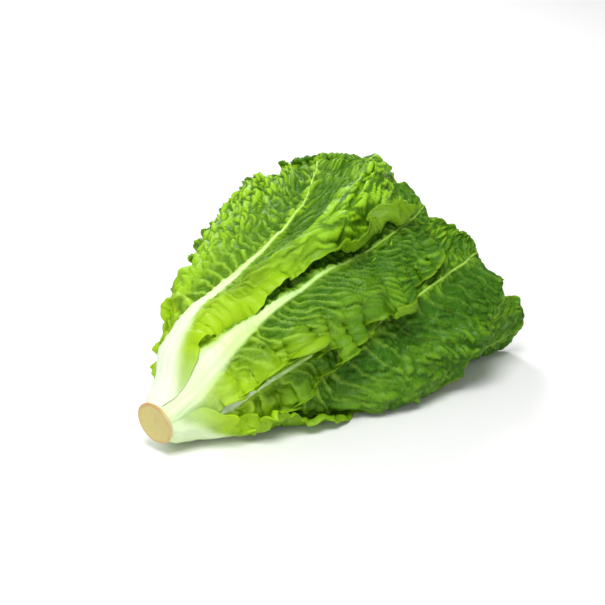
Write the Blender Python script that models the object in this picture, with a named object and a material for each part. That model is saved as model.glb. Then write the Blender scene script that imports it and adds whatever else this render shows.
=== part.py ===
"""A head of romaine lettuce lying on its side: a short cut stem and the separate leaves that grow from it.

Every leaf is a thin closed sheet with a thick midrib. Places on the head are given as s, the distance from
the cut along the head's axis, and a bearing round that axis: 0 is up, 90 is towards -Y and 180 is down.
A leaf is then one distance from the axis for each s and bearing. The leaves are laid from the outermost
inwards, and each one is pressed in where it would meet a leaf outside it or the surface it lies on.
"""

import math
from collections import namedtuple

import bpy
import numpy as np
from mathutils import Matrix

# The head, in metres and degrees.
HEAD_TILT = 8.5  # the axis climbs from the cut towards the leaf tips
BUTT_HEIGHT = 0.0220  # of the axis above the surface, at the cut
BUTT_RADIUS = 0.0145
HEAD_RADIUS = 0.084  # of the loose outer leaves, where the head is widest
WIDEST_AT = 0.25  # from the cut
SWELL_POWER = 1.1
# The head lies loosely: it is wider along one slant than across it.
SPREAD, SPREAD_BEARING = 0.24, -60

# The stem inside the head, and the ring round its cut where the leaf bases were cut with it.
STEM_LENGTH = 0.066
STEM_RADIUS, STEM_TIP_RADIUS = 0.0108, 0.0016
RING_DEPTH, RING_ROUNDING = 0.0030, 0.0008
STEM_TAPER = 0.5
STEM_SIDES = 28
CUT_DISH = 0.0012  # the cut face is slightly hollow

# Leaves in general.
FIRST_ROOT = 0.0036  # where the outermost leaf starts, from the cut
OUTER_PITCH, HEART_PITCH = 0.0016, 0.0042  # between the roots of successive leaves
ROOT_RISE = 0.030  # over which a leaf leaves the stem
ROOT_GAP = 0.0008
BLADE = 0.0009  # thickness
LEAST_SLANT = 0.62  # a steep part of a leaf is no thicker along the radius than the blade over this
LEAST_GAP, BLADE_GAP = 0.0006, 0.0023  # between leaves, at the roots and up in the blades
RIB_WIDTH_ROOT, RIB_WIDTH_TIP = 0.020, 0.003  # half-widths
RIB_DEPTH_ROOT, RIB_DEPTH_TIP = 0.0030, 0.0007
SURFACE_GAP = 0.0012  # between the lowest leaves and the surface, away from the three pads
SURFACE_BLEND = 0.0015
# Where the head touches the surface: the middle and radius of each pad, before the head is centred.
PADS = ((0.084, -0.004, 0.024), (0.262, -0.064, 0.022), (0.205, 0.050, 0.022))
PAD_REACH = 0.0010  # a vertex this far above the lowest leaves is still let down to the surface

# Cells of the map on which the leaves press each other.
S_CELLS, BEARINGS = 180, 180
S_MOST = 0.31

Leaf = namedtuple("Leaf", "midrib length widths shoulders skew layer rises flap flare ruffle seed")
# The leaves that show, outermost first: the bearing of the midrib at the root, at each third of the leaf and
# at the tip, then metres. Pairs are for the left and right of the midrib. A higher shoulder puts the widest
# part nearer the tip. Skew carries the right side further along the head than the left. Layer places the
# blade between the stem at 0 and the loose outer leaves at 1, rise lifts it on either side of the midrib,
# flap turns the right margin back in and flare turns the tip out.
OUTER_LEAVES = [
    Leaf((136, 148, 160, 162), 0.200, (0.036, 0.058), (1.9, 1.9), 0.000, 1.00, (0.000, 0.000), 0.000, 0.000, 0.0030, 1),
    Leaf((-40, -10, -3, -21), 0.212, (0.064, 0.066), (2.8, 4.6), 0.018, 0.96, (0.010, 0.014), 0.012, 0.003, 0.0035, 2),
    Leaf((-96, -100, -104, -104), 0.240, (0.064, 0.062), (1.9, 1.9), 0.000, 0.94, (0.004, 0.004), 0.000, 0.008, 0.0040, 3),
    Leaf((36, 30, 38, 36), 0.223, (0.048, 0.031), (2.2, 1.9), 0.000, 0.86, (-0.004, 0.008), 0.000, 0.000, 0.0045, 4),
    Leaf((-146, -140, -138, -138), 0.250, (0.060, 0.060), (1.9, 1.9), 0.000, 0.90, (0.000, 0.000), 0.000, 0.002, 0.0030, 5),
    Leaf((104, 80, 72, 68), 0.145, (0.034, 0.009), (1.3, 1.3), 0.000, 0.84, (0.004, 0.004), 0.000, 0.000, 0.0025, 10),
    Leaf((128, 93, 74, 74), 0.240, (0.042, 0.047), (2.3, 2.0), -0.012, 0.80, (0.004, 0.023), 0.000, 0.000, 0.0035, 6),
    Leaf((170, 140, 121, 115), 0.258, (0.045, 0.045), (2.4, 2.0), 0.000, 0.80, (0.004, 0.000), 0.000, 0.013, 0.0030, 7),
    Leaf((-40, -43, -44, -44), 0.224, (0.056, 0.056), (1.9, 1.9), 0.000, 0.74, (0.004, 0.004), 0.000, 0.006, 0.0035, 8),
    Leaf((36, 14, 0, -6), 0.230, (0.018, 0.040), (1.9, 1.9), 0.000, 0.74, (0.004, 0.004), 0.000, 0.012, 0.0030, 9),
]
HEART_LEAVES = 8
HEART_FIRST_BEARING = -84.0
GOLDEN_ANGLE = 137.5
HEART_LENGTHS = (0.200, 0.120)  # from the outermost heart leaf to the innermost
HEART_WIDTHS = (0.054, 0.024)
HEART_LAYERS = (0.66, 0.10)

OUTER_CELLS = (26, 10)  # along and across a blade
HEART_CELLS = (16, 8)


def smooth(x):
    """0 below 0, 1 above 1, and an even curve between."""
    x = np.clip(x, 0.0, 1.0)
    return x * x * (3.0 - 2.0 * x)


def mix(a, b, t):
    return a + (b - a) * t


def head_radius(s):
    """Distance of the loose outer leaves from the axis, where the head is narrow."""
    reach = np.clip(s / WIDEST_AT, 0.0, 1.0)
    return BUTT_RADIUS + (HEAD_RADIUS - BUTT_RADIUS) * np.sin(math.pi / 2 * reach) ** SWELL_POWER


def spread(s, bearing):
    """How much wider the head is at this bearing."""
    slant = 0.5 + 0.5 * np.cos(np.radians(2 * (bearing - SPREAD_BEARING)))
    return 1.0 + SPREAD * slant**1.4 * smooth(s / 0.10)


def stem_radius(s):
    return mix(STEM_RADIUS, STEM_TIP_RADIUS, np.clip(s / STEM_LENGTH, 0.0, 1.0) ** STEM_TAPER)


def surface_radius(s, bearing, clearance):
    """How far from the axis a leaf may reach and clear the surface, in directions that point down."""
    tilt = math.radians(HEAD_TILT)
    height = BUTT_HEIGHT + s * math.sin(tilt) - clearance
    down = -np.cos(np.radians(bearing)) * math.cos(tilt)
    return np.where(down > 0.02, height / np.maximum(down, 0.02), 1.0)


def least_of(a, b, blend):
    """The lesser of two distances, rounded off where they cross. Never more than either."""
    return np.minimum(a, b) - blend * np.log1p(np.exp(-np.abs(a - b) / blend))


def place(s, bearing, radius):
    """World points of places on the head, before it is centred."""
    tilt, angle = math.radians(HEAD_TILT), np.radians(bearing)
    up = radius * np.cos(angle)
    return np.stack(
        [
            s * math.cos(tilt) - up * math.sin(tilt),
            -radius * np.sin(angle),
            BUTT_HEIGHT + s * math.sin(tilt) + up * math.cos(tilt),
        ],
        axis=-1,
    )


def all_leaves():
    leaves = list(OUTER_LEAVES)
    for i in range(HEART_LEAVES):
        inwards = i / (HEART_LEAVES - 1)
        bearing = (HEART_FIRST_BEARING + GOLDEN_ANGLE * i + 180.0) % 360.0 - 180.0
        length = mix(*HEART_LENGTHS, inwards)
        width = mix(*HEART_WIDTHS, inwards)
        flare = 0.004 * (1 - inwards)
        layer = mix(*HEART_LAYERS, inwards)
        sides = (width, width), (1.9, 1.9)
        leaves.append(Leaf((bearing,) * 4, length, *sides, 0, layer, (0, 0), 0, flare, 0.0035, 20 + i))
    return leaves


def root_at(rank):
    outer = len(OUTER_LEAVES)
    return FIRST_ROOT + OUTER_PITCH * min(rank, outer) + HEART_PITCH * max(rank - outer, 0)


def half_width(leaf, u, side):
    """Half the width of a leaf on one side, measured round the head: a clasping root and a rounded blade."""
    u = np.clip(u, 0.0, 1.0)
    blade = np.sin(math.pi * u ** np.where(side < 0, *leaf.shoulders)) ** 0.55
    root = mix(0.011, 0.019, smooth(u * 8)) * (1.0 - u) ** 2.2
    lobes = 1.0 + 0.05 * np.sin(19.5 * u + leaf.seed + side)
    lobes += 0.05 * np.sin(36.0 * u + 2.3 * leaf.seed - side)
    return np.maximum(np.where(side < 0, *leaf.widths) * blade * mix(1.0, lobes, smooth(u * 3)) + root, 1e-4)


def rib_shape(rank, u, across):
    """Extra thickness of the midrib at this far across the blade, in metres."""
    u = np.clip(u, 0, 1)
    half = mix(RIB_WIDTH_ROOT, RIB_WIDTH_TIP, u**0.55) * mix(0.55, 1.0, smooth(u * 8))
    depth = mix(RIB_DEPTH_ROOT, RIB_DEPTH_TIP, u**0.8) * mix(0.5, 1.0, smooth(u * 8))
    return depth * mix(1.0, 0.4, min(rank / 14, 1.0)) * np.clip(1.0 - (across / half) ** 2, 0.0, 1.0) ** 1.5


def level_radius(leaf, rank, s):
    """The inner side of a leaf's midrib: on the stem at its root, then out to its own layer."""
    stem = stem_radius(s) + ROOT_GAP
    u = (s - root_at(rank)) / leaf.length
    risen = smooth((s - root_at(rank)) / ROOT_RISE * 0.7 + 0.3)
    flare = leaf.flare * smooth((u - 0.6) / 0.4)
    skin = head_radius(s) - mix(RIB_DEPTH_ROOT, 0.0, smooth(u * 2)) - BLADE
    return stem + np.maximum(skin - stem, 0.0) * leaf.layer * risen + flare


def reach_of(leaf, u, side, level):
    """Degrees round the head from a leaf's midrib to its margin."""
    most = mix(60.0, 105.0, smooth(u * 3))
    return np.minimum(np.degrees(half_width(leaf, u, side) / np.maximum(level, 0.006)), most)


def midrib_bearing(leaf, u):
    """The cubic through the bearings at the root, at each third of the leaf and at its tip."""
    t = 3.0 * np.clip(u, 0.0, 1.0)
    a, b, c, d = leaf.midrib
    near = -a * (t - 1) * (t - 2) * (t - 3) / 6 + b * t * (t - 2) * (t - 3) / 2
    return near - c * t * (t - 1) * (t - 3) / 2 + d * t * (t - 1) * (t - 2) / 6


def skewed(leaf, away):
    """How much further along the head the blade lies on its right side, and less on its left."""
    return leaf.skew * np.tanh(away / 30.0)


def leaf_form(leaf, rank, s, bearing):
    """(u, v, inner distance, thickness) of a leaf at each s and bearing, before it is pressed."""
    grown = (s - root_at(rank)) / leaf.length
    away = (bearing - midrib_bearing(leaf, grown) + 180.0) % 360.0 - 180.0
    u = grown - skewed(leaf, away) / leaf.length * smooth(grown * 1.5)
    level = level_radius(leaf, rank, s)
    side = np.where(away < 0, -1.0, 1.0)
    v = away / reach_of(leaf, u, side, level)
    a = np.clip(np.abs(v), 0.0, 1.15)
    body = smooth((u - 0.15) / 0.4) * smooth((1.0 - u) * 5)
    rise = np.where(side < 0, *leaf.rises) * smooth(a / 0.75)
    flap = np.where(side < 0, 0.0, leaf.flap) * smooth((a - 0.72) / 0.28)
    waves = np.sin(31.0 * u + 1.7 * side + leaf.seed) * smooth(u * 4) * smooth((1.05 - u) * 6)
    inner = level * spread(s, bearing) + (rise - flap) * body + leaf.ruffle * a**2.5 * waves
    return u, v, inner, BLADE + rib_shape(rank, u, v * half_width(leaf, u, side))


def widen(field, cells_s, cells_b):
    """The highest value within so many cells. Bearings wrap round."""
    out = field.copy()
    for i in range(1, cells_s + 1):
        out[i:] = np.maximum(out[i:], field[:-i])
        out[:-i] = np.maximum(out[:-i], field[i:])
    wide = out.copy()
    for i in range(1, cells_b + 1):
        wide = np.maximum(wide, np.maximum(np.roll(out, i, 1), np.roll(out, -i, 1)))
    return wide


def even_out(field, cells_s, cells_b):
    """A running mean within so many cells each way, taken twice over half of them."""
    for _ in range(2):
        for axis, cells in ((0, cells_s), (1, cells_b)):
            half = max(cells // 2, 1)
            padded = np.concatenate(
                [np.repeat(field[:1], half, 0), field, np.repeat(field[-1:], half, 0)]
                if axis == 0
                else [field[:, -half:], field, field[:, :half]],
                axis=axis,
            )
            total = np.cumsum(padded, axis=axis)
            total = np.concatenate([np.zeros_like(np.take(total, [0], axis)), total], axis)
            n = 2 * half + 1
            upper = np.take(total, np.arange(n, total.shape[axis]), axis)
            lower = np.take(total, np.arange(0, total.shape[axis] - n), axis)
            field = (upper - lower) / n
    return field


PRESS_S, PRESS_B = 3, 4  # how far, in cells, a leaf gives way round what presses it


def gentle(field):
    """The same excess or more everywhere, with soft edges."""
    return even_out(widen(field, PRESS_S, PRESS_B), PRESS_S, PRESS_B)


def shift_maps(leaves):
    """For each leaf, how far it is moved: in from the surface, out over the leaves inside it, and back in."""
    s = np.linspace(0.0, S_MOST, S_CELLS)[:, None] * np.ones((1, BEARINGS))
    bearing = np.ones((S_CELLS, 1)) * np.arange(BEARINGS)[None] * (360.0 / BEARINGS)
    gap = mix(LEAST_GAP, BLADE_GAP, smooth((s - 0.012) / 0.055))
    forms, covers, thicks, places = [], [], [], []
    clearance = np.full_like(s, SURFACE_GAP)
    for rank, leaf in enumerate(leaves):
        u, v, free, thick = leaf_form(leaf, rank, s, bearing)
        cover = (np.abs(v) <= 1.10) & (u >= -0.02) & (u <= 1.03)
        forms.append(free)
        covers.append(cover)
        thicks.append(thick)
        places.append(least_of(free, surface_radius(s, bearing, clearance) - thick, SURFACE_BLEND))
        clearance = clearance + gentle(np.where(cover, thick + gap, 0.0))
    below = stem_radius(s) + ROOT_GAP
    for rank in reversed(range(len(leaves))):
        places[rank] += gentle(np.where(covers[rank], np.maximum(below - places[rank], 0.0), 0.0))
        below = np.maximum(below, np.where(covers[rank], places[rank] + thicks[rank] + gap, 0.0))
    above = surface_radius(s, bearing, SURFACE_GAP) + gap
    for rank in range(len(leaves)):
        excess = np.maximum(places[rank] + thicks[rank] + gap - above, 0.0)
        places[rank] -= gentle(np.where(covers[rank], excess, 0.0))
        above = np.minimum(above, np.where(covers[rank], places[rank], 1.0))
    return [place - form for place, form in zip(places, forms)]


def shifted(field, s, bearing):
    """The map's value at each place, read evenly between its cells."""
    row = np.clip(s / S_MOST * (S_CELLS - 1), 0, S_CELLS - 1.001)
    column = (bearing % 360.0) / 360.0 * BEARINGS
    i, j = row.astype(int), column.astype(int) % BEARINGS
    fi, fj = row - i, column - np.floor(column)
    k = (j + 1) % BEARINGS
    near = field[i, j] * (1 - fj) + field[i, k] * fj
    far = field[i + 1, j] * (1 - fj) + field[i + 1, k] * fj
    return near * (1 - fi) + far * fi


def sheet_normals(points):
    """Unit normals of a grid of points."""
    along = np.gradient(points, axis=0)
    across = np.gradient(points, axis=1)
    normal = np.cross(across, along)
    return normal / np.maximum(np.linalg.norm(normal, axis=-1, keepdims=True), 1e-12)


def leaf_grid(leaf, rank, shift, cells):
    """(outer points, inner points) of a leaf, as grids of places along and across it."""
    rows, columns = cells
    t = np.linspace(0.0, 1.0, rows + 1)
    u = mix(t, 0.5 - 0.5 * np.cos(math.pi * t), 0.6)[:, None] * np.ones((1, columns + 1)) * 0.997
    t = np.linspace(-1.0, 1.0, columns + 1)
    v = np.ones((rows + 1, 1)) * (np.sign(t) * np.abs(t) ** 1.4)[None]
    s = root_at(rank) + leaf.length * u
    side = np.where(v < 0, -1.0, 1.0)
    away = v * reach_of(leaf, u, side, level_radius(leaf, rank, s))
    s = s + skewed(leaf, away) * smooth(u * 1.5)
    bearing = midrib_bearing(leaf, (s - root_at(rank)) / leaf.length) + away
    _, _, inner, thick = leaf_form(leaf, rank, s, bearing)
    inner = np.maximum(inner + shifted(shift, s, bearing), stem_radius(s) + ROOT_GAP / 2)
    inside = place(s, bearing, inner)
    straight_out = place(s, bearing, np.ones_like(s)) - place(s, bearing, np.zeros_like(s))
    slant = np.abs(np.sum(sheet_normals(inside) * straight_out, axis=-1))
    outside = place(s, bearing, inner + thick / np.maximum(slant, LEAST_SLANT))
    for x, y, radius in PADS:
        near = np.hypot(outside[..., 0] - x, outside[..., 1] - y) < radius
        low = near & (outside[..., 2] < SURFACE_GAP + PAD_REACH)
        outside[..., 2] = np.where(low, 0.0, outside[..., 2])
    return outside, inside


def sheet_mesh(name, outer, inner):
    """A closed mesh of two like grids of triangles, joined round their edge."""
    rows, columns = outer.shape[0] - 1, outer.shape[1] - 1
    points = np.concatenate([outer.reshape(-1, 3), inner.reshape(-1, 3)])
    count = outer.shape[0] * outer.shape[1]

    def at(i, j, side):
        return side * count + i * (columns + 1) + j

    faces = []
    for i in range(rows):
        for j in range(columns):
            a, b, c, d = (i, j), (i + 1, j), (i + 1, j + 1), (i, j + 1)
            halves = ((a, c, b), (a, d, c)) if (j < columns / 2) else ((a, d, b), (b, d, c))
            for half in halves:
                faces.append([at(*p, 0) for p in half])
                faces.append([at(*p, 1) for p in reversed(half)])
    rim = [(i, 0) for i in range(rows + 1)]
    rim += [(rows, j) for j in range(1, columns + 1)]
    rim += [(i, columns) for i in range(rows - 1, -1, -1)]
    rim += [(0, j) for j in range(columns - 1, 0, -1)]
    for p, q in zip(rim, rim[1:] + rim[:1]):
        faces.append([at(*p, 0), at(*q, 1), at(*p, 1)])
        faces.append([at(*p, 0), at(*q, 0), at(*q, 1)])
    mesh = bpy.data.meshes.new(name)
    mesh.from_pydata(points.tolist(), [], faces)
    mesh.update()
    return mesh


def material(name, colour, roughness):
    made = bpy.data.materials.new(name)
    made.use_nodes = True
    shader = made.node_tree.nodes["Principled BSDF"]
    shader.inputs["Base Color"].default_value = (*colour, 1.0)
    shader.inputs["Roughness"].default_value = roughness
    return made


def add(name, mesh, finish):
    obj = bpy.data.objects.new(name, mesh)
    bpy.context.scene.collection.objects.link(obj)
    mesh.materials.append(finish)
    mesh.shade_smooth()
    return obj


def stem_mesh():
    """The stem, turned round the head's axis: a hollowed cut face, a scarred ring and a taper."""
    profile = [(CUT_DISH, 0.0), (CUT_DISH * 0.4, STEM_RADIUS * 0.8), (0.0, BUTT_RADIUS - RING_ROUNDING)]
    profile += [(RING_ROUNDING, BUTT_RADIUS), (RING_DEPTH - RING_ROUNDING, BUTT_RADIUS)]
    for i in range(7):
        s = mix(RING_DEPTH, STEM_LENGTH, (i / 6) ** 1.4)
        profile.append((s, float(stem_radius(np.array(s)))))
    profile.append((STEM_LENGTH + 0.001, 0.0))
    profile.reverse()
    points, rings = [], []
    for s, radius in profile:
        sides = 1 if radius == 0.0 else STEM_SIDES
        rings.append(range(len(points), len(points) + sides))
        for k in range(sides):
            points.append(place(np.array(s), np.array(360.0 * k / STEM_SIDES), np.array(radius)).tolist())
    faces = []
    for low, high in zip(rings, rings[1:]):
        for k in range(STEM_SIDES):
            n = (k + 1) % STEM_SIDES
            if len(low) == 1:
                faces.append([low[0], high[k], high[n]])
            elif len(high) == 1:
                faces.append([low[k], high[0], low[n]])
            else:
                faces.append([low[k], high[k], high[n]])
                faces.append([low[k], high[n], low[n]])
    mesh = bpy.data.meshes.new("stem")
    mesh.from_pydata(points, [], faces)
    mesh.update()
    return mesh


def clear_scene():
    for obj in list(bpy.data.objects):
        bpy.data.objects.remove(obj)


def centre(objects):
    """Move the head so that the origin is under the middle of its bounds, on the surface."""
    points = np.array([v.co[:] for obj in objects for v in obj.data.vertices])
    low, high = points.min(axis=0), points.max(axis=0)
    move = Matrix.Translation((-(low[0] + high[0]) / 2, -(low[1] + high[1]) / 2, -low[2]))
    for obj in objects:
        obj.data.transform(move)


def main():
    clear_scene()
    leaves = all_leaves()
    maps = shift_maps(leaves)
    pale = material("stem", (0.80, 0.82, 0.58), 0.5)
    green = material("outer_leaf", (0.20, 0.46, 0.05), 0.45)
    light = material("heart_leaf", (0.50, 0.70, 0.16), 0.45)
    made = [add("stem", stem_mesh(), pale)]
    for rank, leaf in enumerate(leaves):
        outer = rank < len(OUTER_LEAVES)
        name = f"{'outer' if outer else 'heart'}_leaf_{rank + 1:02d}"
        cells = OUTER_CELLS if outer else HEART_CELLS
        grid = leaf_grid(leaf, rank, maps[rank], cells)
        made.append(add(name, sheet_mesh(name, *grid), green if outer else light))
    centre(made)


if __name__ == "__main__":
    main()
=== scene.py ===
import functools
import math
from collections import namedtuple

import bpy
import numpy as np
from bpy.props import FloatProperty, FloatVectorProperty, PointerProperty
from bpy.types import Operator, Panel, PropertyGroup
from mathutils import Matrix, Vector


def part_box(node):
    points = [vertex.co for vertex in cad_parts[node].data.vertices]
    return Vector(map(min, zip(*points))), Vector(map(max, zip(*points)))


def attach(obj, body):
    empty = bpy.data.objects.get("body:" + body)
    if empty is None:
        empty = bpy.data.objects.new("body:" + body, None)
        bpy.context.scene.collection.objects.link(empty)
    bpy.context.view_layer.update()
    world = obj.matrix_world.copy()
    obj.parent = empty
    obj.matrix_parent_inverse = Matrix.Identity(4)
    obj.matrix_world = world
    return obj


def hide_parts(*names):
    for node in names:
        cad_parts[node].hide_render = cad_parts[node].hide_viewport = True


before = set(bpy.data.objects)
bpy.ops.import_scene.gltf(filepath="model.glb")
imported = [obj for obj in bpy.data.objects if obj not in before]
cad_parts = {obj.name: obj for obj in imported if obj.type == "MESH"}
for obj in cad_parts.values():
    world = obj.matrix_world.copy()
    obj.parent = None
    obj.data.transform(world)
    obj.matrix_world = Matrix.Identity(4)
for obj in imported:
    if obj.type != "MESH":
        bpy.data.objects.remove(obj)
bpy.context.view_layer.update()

# A head of romaine lettuce lying on its side. The frame holds the head as plain thick sheets; this file
# grows the same leaves again, fine enough to carry ribs, side veins, puckers and frilled margins.
#
# Places on the head are given as s, the distance from the cut along the head's axis, and a bearing round
# that axis: 0 is up, 90 is towards -Y and 180 is down. A leaf is one distance from the axis for each s and
# bearing, and u and v run along and across its blade. Lengths are in metres and bearings in degrees.

bl_info = {
    "name": "Romaine Head",
    "version": (1, 0, 0),
    "blender": (4, 5, 0),
    "location": "3D View > Sidebar > Romaine",
    "description": "Grows a head of romaine lettuce leaf by leaf round a packed frame",
    "category": "Object",
}

# ----------------------------------------
# The head: these are the frame's own sizes.

HEAD_TILT = 8.5
BUTT_HEIGHT = 0.022
BUTT_RADIUS = 0.0145
HEAD_RADIUS = 0.084
WIDEST_AT = 0.25
SWELL_POWER = 1.1
SPREAD, SPREAD_BEARING = 0.24, -60
STEM_LENGTH = 0.066
STEM_END = 0.001
STEM_RADIUS, STEM_TIP_RADIUS = 0.0108, 0.0016
RING_DEPTH = 0.003
STEM_TAPER = 0.5
FIRST_ROOT = 0.0036
OUTER_PITCH, HEART_PITCH = 0.0016, 0.0042
ROOT_RISE = 0.03
ROOT_GAP = 0.0008
BLADE = 0.0009
LEAST_GAP, BLADE_GAP = 0.0006, 0.0023
RIB_WIDTH_ROOT, RIB_WIDTH_TIP = 0.02, 0.003
RIB_DEPTH_ROOT, RIB_DEPTH_TIP = 0.003, 0.0007
SURFACE_GAP = 0.0012
SURFACE_BLEND = 0.0015
S_CELLS, BEARINGS = 300, 360
PRESS_S, PRESS_B = 5, 8
S_MOST = 0.31

# A midrib is given by its bearings at the root, at each third of the leaf and at the tip, and a pair is for
# the left and the right side. A layer is the share of the head's radius that the leaf lies at.
Leaf = namedtuple(
    "Leaf",
    "seed midrib length widths layer rises shoulders skew flap flare ruffle",
    defaults=((1.9, 1.9), 0.0, 0.0, 0.0, 0.003),
)
OUTER_LEAVES = [
    Leaf(1, (136, 148, 160, 162), 0.2, (0.036, 0.058), 1.0, (0.0, 0.0)),
    Leaf(
        2, (-40, -10, -3, -21), 0.212, (0.064, 0.066), 0.96, (0.01, 0.014), (2.8, 4.6),
        skew=0.018, flap=0.012, flare=0.003, ruffle=0.0035,
    ),
    Leaf(3, (-96, -100, -104, -104), 0.24, (0.064, 0.062), 0.94, (0.004, 0.004), flare=0.008, ruffle=0.004),
    Leaf(4, (36, 30, 38, 36), 0.223, (0.048, 0.031), 0.86, (-0.004, 0.008), (2.2, 1.9), ruffle=0.0045),
    Leaf(5, (-146, -140, -138, -138), 0.25, (0.06, 0.06), 0.9, (0.0, 0.0), flare=0.002),
    Leaf(10, (104, 80, 72, 68), 0.145, (0.034, 0.009), 0.84, (0.004, 0.004), (1.3, 1.3), ruffle=0.0025),
    Leaf(6, (128, 93, 74, 74), 0.24, (0.042, 0.047), 0.8, (0.004, 0.023), (2.3, 2.0), -0.012, ruffle=0.0035),
    Leaf(7, (170, 140, 121, 115), 0.258, (0.045, 0.045), 0.8, (0.004, 0.0), (2.4, 2.0), flare=0.013),
    Leaf(8, (-40, -43, -44, -44), 0.224, (0.056, 0.056), 0.74, (0.004, 0.004), flare=0.006, ruffle=0.0035),
    Leaf(9, (36, 14, 0, -6), 0.23, (0.018, 0.04), 0.74, (0.004, 0.004), flare=0.012),
]
HEART_LEAVES = 8
HEART_FIRST_BEARING = -84.0
GOLDEN_ANGLE = 137.5
HEART_LENGTHS = (0.2, 0.12)
HEART_WIDTHS = (0.054, 0.024)
HEART_LAYERS = (0.66, 0.1)
HEART_FLARES = (0.004, 0.0)

# ----------------------------------------
# What each leaf adds to that: grid rows and columns, frills on the left and right margins and at the tip,
# puckers, how green it is on the left and the right, partly its own green and partly painted shade, how deep
# its folds are, how wide its pale midrib is, how far its side veins slant on the left and the right, and how
# far they lie apart.

VEIN_SPACING = 0.0085
Look = namedtuple(
    "Look",
    "rows columns frill_left frill_right frill_tip pucker greens fold pale slants vein",
    defaults=((0.9, 0.9), VEIN_SPACING),
)
LOOKS = [
    Look(150, 90, 0.6, 1.0, 0.5, 0.7, (1.1, 1.22), 0.8, 0.8),
    Look(280, 170, 1.1, 0.75, 0.8, 1.15, (0.68, 0.84), 1.2, 0.9, (1.1, 2.0), 0.007),
    Look(180, 90, 0.9, 0.9, 0.8, 1.0, (0.9, 0.9), 1.0, 1.0),
    Look(270, 140, 0.9, 1.4, 0.6, 1.1, (1.1, 1.18), 1.0, 0.85, (0.6, 1.7), 0.0062),
    Look(150, 76, 0.7, 0.7, 0.7, 0.8, (1.0, 1.0), 0.8, 1.0),
    Look(170, 80, 1.3, 1.4, 1.0, 0.8, (0.95, 1.05), 1.2, 0.15),
    Look(260, 130, 0.8, 1.2, 0.5, 1.3, (0.9, 1.24), 1.6, 0.12, (1.3, 1.5), 0.0095),
    Look(190, 90, 0.8, 1.0, 0.8, 1.1, (1.1, 1.25), 0.9, 0.7, (1.0, 1.0)),
    Look(150, 76, 0.8, 0.8, 0.7, 0.9, (0.95, 0.95), 0.9, 1.0),
    Look(170, 84, 0.6, 0.6, 0.4, 0.5, (0.95, 0.95), 0.8, 1.0, (0.8, 0.8)),
]
HEART_LOOK = Look(76, 36, 0.6, 0.6, 0.5, 0.4, (0.35, 0.35), 0.6, 1.0, (0.8, 0.8))

# Folds and furrows of single leaves: which leaf, the two ends as distances along the leaf and across it, the
# width and the height, which is below 0 for a furrow.
Fold = namedtuple("Fold", "rank near far width height")
FOLDS = (
    Fold(1, (0.088, 0.009), (0.15, 0.011), 0.0048, -0.0062),
    Fold(1, (0.15, 0.012), (0.2, 0.022), 0.006, -0.006),
    Fold(1, (0.085, 0.02), (0.145, 0.024), 0.006, 0.005),
    Fold(1, (0.14, 0.026), (0.2, 0.04), 0.007, 0.005),
    Fold(1, (0.06, -0.02), (0.15, -0.03), 0.008, 0.004),
    Fold(3, (0.06, -0.008), (0.14, -0.009), 0.005, -0.004),
    Fold(3, (0.07, 0.016), (0.15, 0.02), 0.007, 0.004),
    Fold(6, (0.11, 0.012), (0.21, 0.022), 0.006, -0.005),
    Fold(6, (0.12, 0.028), (0.2, 0.034), 0.008, 0.005),
    Fold(6, (0.11, -0.012), (0.2, -0.018), 0.007, -0.004),
)
FOLD_END = 0.014

# Margins that turn back over the outside of a leaf: which leaf and side, between which two parts of its
# length, how much of the length each end takes to start, how wide a strip of the blade turns back, the
# radius and the degrees of the turn, and its share of the frills.
Curl = namedtuple("Curl", "rank side first last grow width radius turn waves")
CURLS = (
    Curl(1, 1, 0.5, 0.93, 0.13, 0.02, 0.0045, 150, 0.25),
    Curl(3, 1, 0.58, 0.76, 0.07, 0.013, 0.003, 160, 0.5),
    Curl(3, 1, 0.12, 0.54, 0.07, 0.006, 0.0024, 100, 0.6),
    Curl(5, -1, 0.2, 0.9, 0.07, 0.007, 0.0026, 110, 0.6),
    Curl(5, 1, 0.2, 0.9, 0.07, 0.006, 0.0026, 90, 0.6),
    Curl(0, -1, 0.2, 0.8, 0.07, 0.006, 0.0026, 90, 0.6),
    Curl(6, 1, 0.5, 0.7, 0.07, 0.007, 0.0034, 90, 0.6),
)
LEAST_CURL = 0.0012

# Broad lobes and bays of the margins: which leaf and side, where along it, how long, and how far they reach.
Lobe = namedtuple("Lobe", "rank side at half reach")
LOBES = (
    Lobe(1, 1, 0.34, 0.16, 0.012),
    Lobe(1, 1, 0.64, 0.1, -0.006),
    Lobe(1, -1, 0.42, 0.05, 0.004),
    Lobe(1, -1, 0.55, 0.05, -0.003),
    Lobe(1, -1, 0.85, 0.08, -0.01),
    Lobe(1, 1, 0.925, 0.018, -0.01),
    Lobe(1, -1, 0.955, 0.012, -0.008),
    Lobe(3, 1, 0.5, 0.1, 0.004),
    Lobe(3, 1, 0.93, 0.02, -0.006),
    Lobe(3, 1, 0.84, 0.08, 0.004),
    Lobe(6, 1, 0.55, 0.05, -0.005),
    Lobe(6, 1, 0.66, 0.06, 0.004),
)

# Waves of a frilled margin: length of the wave, height, and how far in from the margin it starts.
FRILLS = ((0.034, 0.004, 0.026), (0.0135, 0.0036, 0.017), (0.0062, 0.0014, 0.008))
# Ragged edge of a margin: length of the wave and how far it reaches.
RAGS = ((0.0075, 0.0012), (0.0031, 0.0005), (0.021, 0.0022), (0.046, 0.003))
# Creases all over a blade: length across the side veins, length along them, and share.
CREASES = ((0.0125, 0.034, 1.0), (0.0062, 0.02, 0.5))
CREASE_HEIGHT = 0.0021

# A side vein bends towards the tip by a power of its distance from the midrib, and by just that distance
# where it is BEND_AT away. Creases bend more than the veins do.
BEND_AT, BEND_POWER, CREASE_BEND = 0.05, 1.35, 1.6

# Thickness of a blade and of its margin.
BLADE_FINE, BLADE_EDGE = 0.0006, 0.00035
# Points within this height over the floor are eased up.
FLOOR_EASE = 0.0015
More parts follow.
